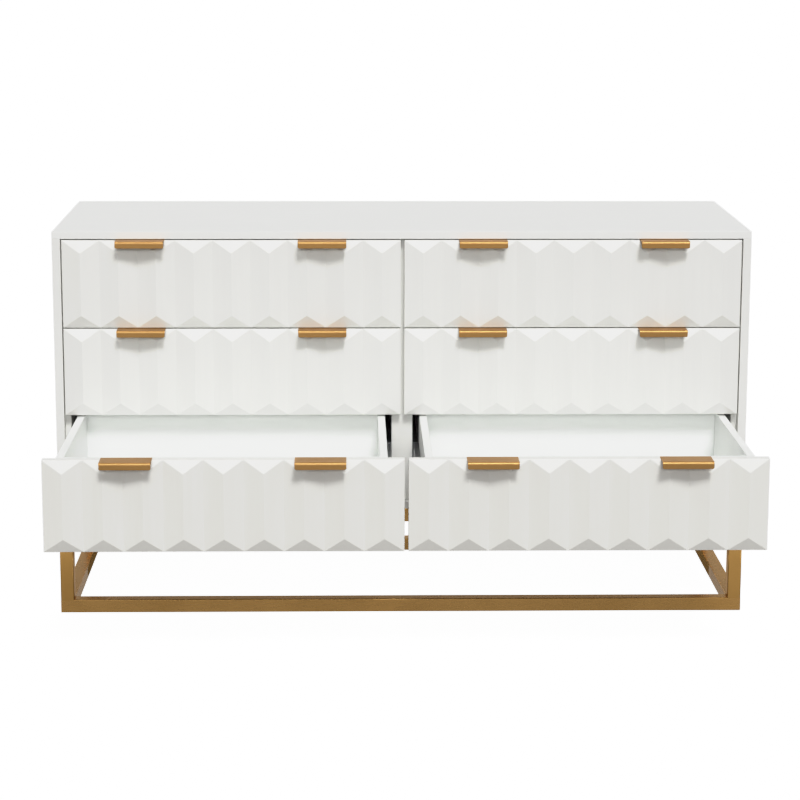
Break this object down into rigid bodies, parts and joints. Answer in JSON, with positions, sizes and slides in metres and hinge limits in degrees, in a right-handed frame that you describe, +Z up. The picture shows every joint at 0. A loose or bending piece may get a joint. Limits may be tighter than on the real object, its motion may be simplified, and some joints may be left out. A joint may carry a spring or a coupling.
{
  "type": "dresser with drawers",
  "caption": "Low wide dresser with white faceted drawer fronts, gold edge pulls and an open square-tube base; the drawers run out on telescopic slides.",
  "frame": {"origin": "on the floor, at the centre of the base", "axes": "+X to the right along the dresser, +Y to its back, +Z up"},
  "size_m": [1.524, 1.027, 0.858],
  "materials": {
    "white_lacquer": "satin white lacquer on board",
    "gold_steel": "satin antique gold",
    "gold_pull": "satin gold",
    "zinc_steel": "zinc plated",
    "screw_steel": "zinc plated"
  },
  "bodies": {
    "carcass": {"top_panel": "white_lacquer", "bottom_panel": "white_lacquer", "side_panel_left": "white_lacquer", "side_panel_right": "white_lacquer", "inner_panels": "white_lacquer", "centre_divider": "white_lacquer", "back_panel": "white_lacquer", "base_bottom_frame": "gold_steel", "base_legs": "gold_steel", "base_top_frame": "gold_steel", "base_screws": "screw_steel", "cabinet_rails": "zinc_steel"},
    "drawer_bottom_left": {"bottom_left_front": "white_lacquer", "bottom_left_box_sides": "white_lacquer", "bottom_left_box_ends": "white_lacquer", "bottom_left_box_floor": "white_lacquer", "bottom_left_pulls": "gold_pull", "bottom_left_pull_screws": "screw_steel", "bottom_left_drawer_rails": "zinc_steel"},
    "slide_bottom_left": {"bottom_left_middle_rails": "zinc_steel"},
    "drawer_bottom_right": {"bottom_right_front": "white_lacquer", "bottom_right_box_sides": "white_lacquer", "bottom_right_box_ends": "white_lacquer", "bottom_right_box_floor": "white_lacquer", "bottom_right_pulls": "gold_pull", "bottom_right_pull_screws": "screw_steel", "bottom_right_drawer_rails": "zinc_steel"},
    "slide_bottom_right": {"bottom_right_middle_rails": "zinc_steel"},
    "drawer_middle_left": {"middle_left_front": "white_lacquer", "middle_left_box_sides": "white_lacquer", "middle_left_box_ends": "white_lacquer", "middle_left_box_floor": "white_lacquer", "middle_left_pulls": "gold_pull", "middle_left_pull_screws": "screw_steel", "middle_left_drawer_rails": "zinc_steel"},
    "slide_middle_left": {"middle_left_middle_rails": "zinc_steel"},
    "drawer_middle_right": {"middle_right_front": "white_lacquer", "middle_right_box_sides": "white_lacquer", "middle_right_box_ends": "white_lacquer", "middle_right_box_floor": "white_lacquer", "middle_right_pulls": "gold_pull", "middle_right_pull_screws": "screw_steel", "middle_right_drawer_rails": "zinc_steel"},
    "slide_middle_right": {"middle_right_middle_rails": "zinc_steel"},
    "drawer_top_left": {"top_left_front": "white_lacquer", "top_left_box_sides": "white_lacquer", "top_left_box_ends": "white_lacquer", "top_left_box_floor": "white_lacquer", "top_left_pulls": "gold_pull", "top_left_pull_screws": "screw_steel", "top_left_drawer_rails": "zinc_steel"},
    "slide_top_left": {"top_left_middle_rails": "zinc_steel"},
    "drawer_top_right": {"top_right_front": "white_lacquer", "top_right_box_sides": "white_lacquer", "top_right_box_ends": "white_lacquer", "top_right_box_floor": "white_lacquer", "top_right_pulls": "gold_pull", "top_right_pull_screws": "screw_steel", "top_right_drawer_rails": "zinc_steel"},
    "slide_top_right": {"top_right_middle_rails": "zinc_steel"}
  },
  "joints": [
    {"name": "drawer_bottom_left_travel", "type": "slide", "parent": "carcass", "child": "drawer_bottom_left", "axis": [0, -1, 0], "range_m": [-0.432, 0.018]},
    {"name": "slide_bottom_left_travel", "type": "slide", "parent": "carcass", "child": "slide_bottom_left", "axis": [0, -1, 0], "range_m": [-0.216, 0.009]},
    {"name": "drawer_bottom_right_travel", "type": "slide", "parent": "carcass", "child": "drawer_bottom_right", "axis": [0, -1, 0], "range_m": [-0.432, 0.018]},
    {"name": "slide_bottom_right_travel", "type": "slide", "parent": "carcass", "child": "slide_bottom_right", "axis": [0, -1, 0], "range_m": [-0.216, 0.009]},
    {"name": "drawer_middle_left_travel", "type": "slide", "parent": "carcass", "child": "drawer_middle_left", "axis": [0, -1, 0], "range_m": [0, 0.45]},
    {"name": "slide_middle_left_travel", "type": "slide", "parent": "carcass", "child": "slide_middle_left", "axis": [0, -1, 0], "range_m": [0, 0.225]},
    {"name": "drawer_middle_right_travel", "type": "slide", "parent": "carcass", "child": "drawer_middle_right", "axis": [0, -1, 0], "range_m": [0, 0.45]},
    {"name": "slide_middle_right_travel", "type": "slide", "parent": "carcass", "child": "slide_middle_right", "axis": [0, -1, 0], "range_m": [0, 0.225]},
    {"name": "drawer_top_left_travel", "type": "slide", "parent": "carcass", "child": "drawer_top_left", "axis": [0, -1, 0], "range_m": [0, 0.45]},
    {"name": "slide_top_left_travel", "type": "slide", "parent": "carcass", "child": "slide_top_left", "axis": [0, -1, 0], "range_m": [0, 0.225]},
    {"name": "drawer_top_right_travel", "type": "slide", "parent": "carcass", "child": "drawer_top_right", "axis": [0, -1, 0], "range_m": [0, 0.45]},
    {"name": "slide_top_right_travel", "type": "slide", "parent": "carcass", "child": "slide_top_right", "axis": [0, -1, 0], "range_m": [0, 0.225]}
  ],
  "couplings": [
    {"joint": "slide_bottom_left_travel", "follows": "drawer_bottom_left_travel", "ratio": 0.5},
    {"joint": "slide_bottom_right_travel", "follows": "drawer_bottom_right_travel", "ratio": 0.5},
    {"joint": "slide_middle_left_travel", "follows": "drawer_middle_left_travel", "ratio": 0.5},
    {"joint": "slide_middle_right_travel", "follows": "drawer_middle_right_travel", "ratio": 0.5},
    {"joint": "slide_top_left_travel", "follows": "drawer_top_left_travel", "ratio": 0.5},
    {"joint": "slide_top_right_travel", "follows": "drawer_top_right_travel", "ratio": 0.5}
  ]
}
